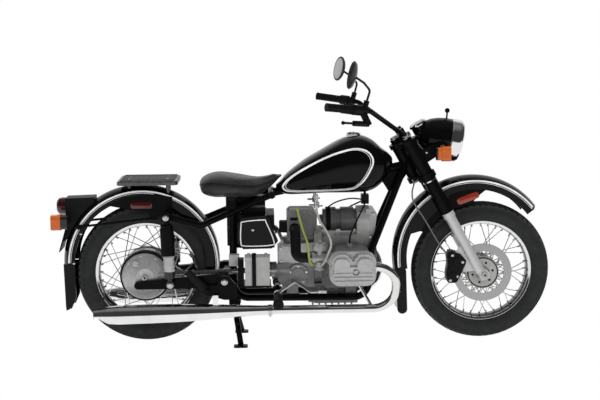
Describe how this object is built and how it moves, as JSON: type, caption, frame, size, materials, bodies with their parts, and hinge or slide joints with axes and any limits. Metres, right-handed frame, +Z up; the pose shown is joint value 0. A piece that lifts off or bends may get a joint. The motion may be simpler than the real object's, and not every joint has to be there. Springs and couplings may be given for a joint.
{
  "type": "standard motorcycle",
  "caption": "Solo shaft-driven motorcycle with a finned flat-twin engine, telescopic fork, wire wheels, deep fenders, solo saddle, rack and centre stand.",
  "frame": {"origin": "on the floor, under the middle of the overall box", "axes": "+X forward, +Y to the rider's left, +Z up; the motorcycle stands on its centre stand and front wheel"},
  "size_m": [2.276, 0.873, 1.3026],
  "materials": {
    "black_paint": "gloss",
    "frame_paint": "gloss",
    "cast_aluminium": "cast",
    "bright_aluminium": "satin",
    "chrome": "polished",
    "steel": "brushed",
    "rubber": "matt",
    "tyre": "matt",
    "leather": "satin",
    "black_plastic": "satin",
    "battery_case": "satin",
    "red_lens": "gloss",
    "orange_lens": "gloss",
    "clear_hose": "satin",
    "glass": "clear"
  },
  "bodies": {
    "chassis": {"frame": "frame_paint", "engine_block": "cast_aluminium", "alternator": "cast_aluminium", "cylinder_right": "cast_aluminium", "cylinder_left": "cast_aluminium", "head_right": "cast_aluminium", "head_left": "cast_aluminium", "rocker_covers": "bright_aluminium", "carburettors": "cast_aluminium", "gearbox": "cast_aluminium", "air_box": "cast_aluminium", "tool_box": "black_plastic", "side_covers": "black_paint", "battery": "battery_case", "exhaust_headers": "chrome", "silencers": "chrome", "fuel_tank": "black_paint", "filler_cap": "chrome", "fuel_tap": "steel", "saddle": "leather", "saddle_mounts": "rubber", "rear_fender": "black_paint", "fender_brackets": "frame_paint", "luggage_rack": "steel", "tail_lamp_body": "black_plastic", "tail_lens": "red_lens", "rear_indicators": "orange_lens", "swingarm": "frame_paint", "shock_bodies": "bright_aluminium", "shock_covers": "frame_paint", "final_drive": "cast_aluminium", "drive_shaft": "steel", "rear_axle": "steel", "foot_pegs": "rubber", "pedals": "steel", "kick_lever": "steel", "rubber_hoses": "rubber", "fuel_hoses": "clear_hose"},
    "steering": {"fork_yokes": "frame_paint", "fork_uppers": "frame_paint", "fork_sliders": "bright_aluminium", "front_axle": "steel", "front_fender": "black_paint", "headlamp_shell": "black_paint", "headlamp_rim": "chrome", "headlamp_glass": "glass", "speedometer": "chrome", "front_indicators": "orange_lens", "handlebar": "frame_paint", "grips": "rubber", "bar_controls": "black_plastic", "mirrors": "chrome", "brake_caliper": "frame_paint", "brake_hose": "rubber"},
    "front_wheel_set": {"front_tyre": "tyre", "front_wheel": "chrome", "front_disc": "steel"},
    "rear_wheel_set": {"rear_tyre": "tyre", "rear_wheel": "chrome"},
    "stand": {"centre_stand": "frame_paint"}
  },
  "joints": [
    {"name": "steering_turn", "type": "hinge", "parent": "chassis", "child": "steering", "pos_m": [0.7689, 0, 0.29434], "axis": [-0.4848, 0, 0.8746], "range_deg": [-36, 36]},
    {"name": "front_wheel_spin", "type": "hinge", "parent": "steering", "child": "front_wheel_set", "pos_m": [0.817, 0, 0.321], "axis": [0, 1, 0], "continuous": true},
    {"name": "rear_wheel_spin", "type": "hinge", "parent": "chassis", "child": "rear_wheel_set", "pos_m": [-0.728, 0, 0.333], "axis": [0, 1, 0], "continuous": true},
    {"name": "stand_fold", "type": "hinge", "parent": "chassis", "child": "stand", "pos_m": [-0.33, 0, 0.178], "axis": [0, 1, 0], "range_deg": [0, 85]}
  ]
}
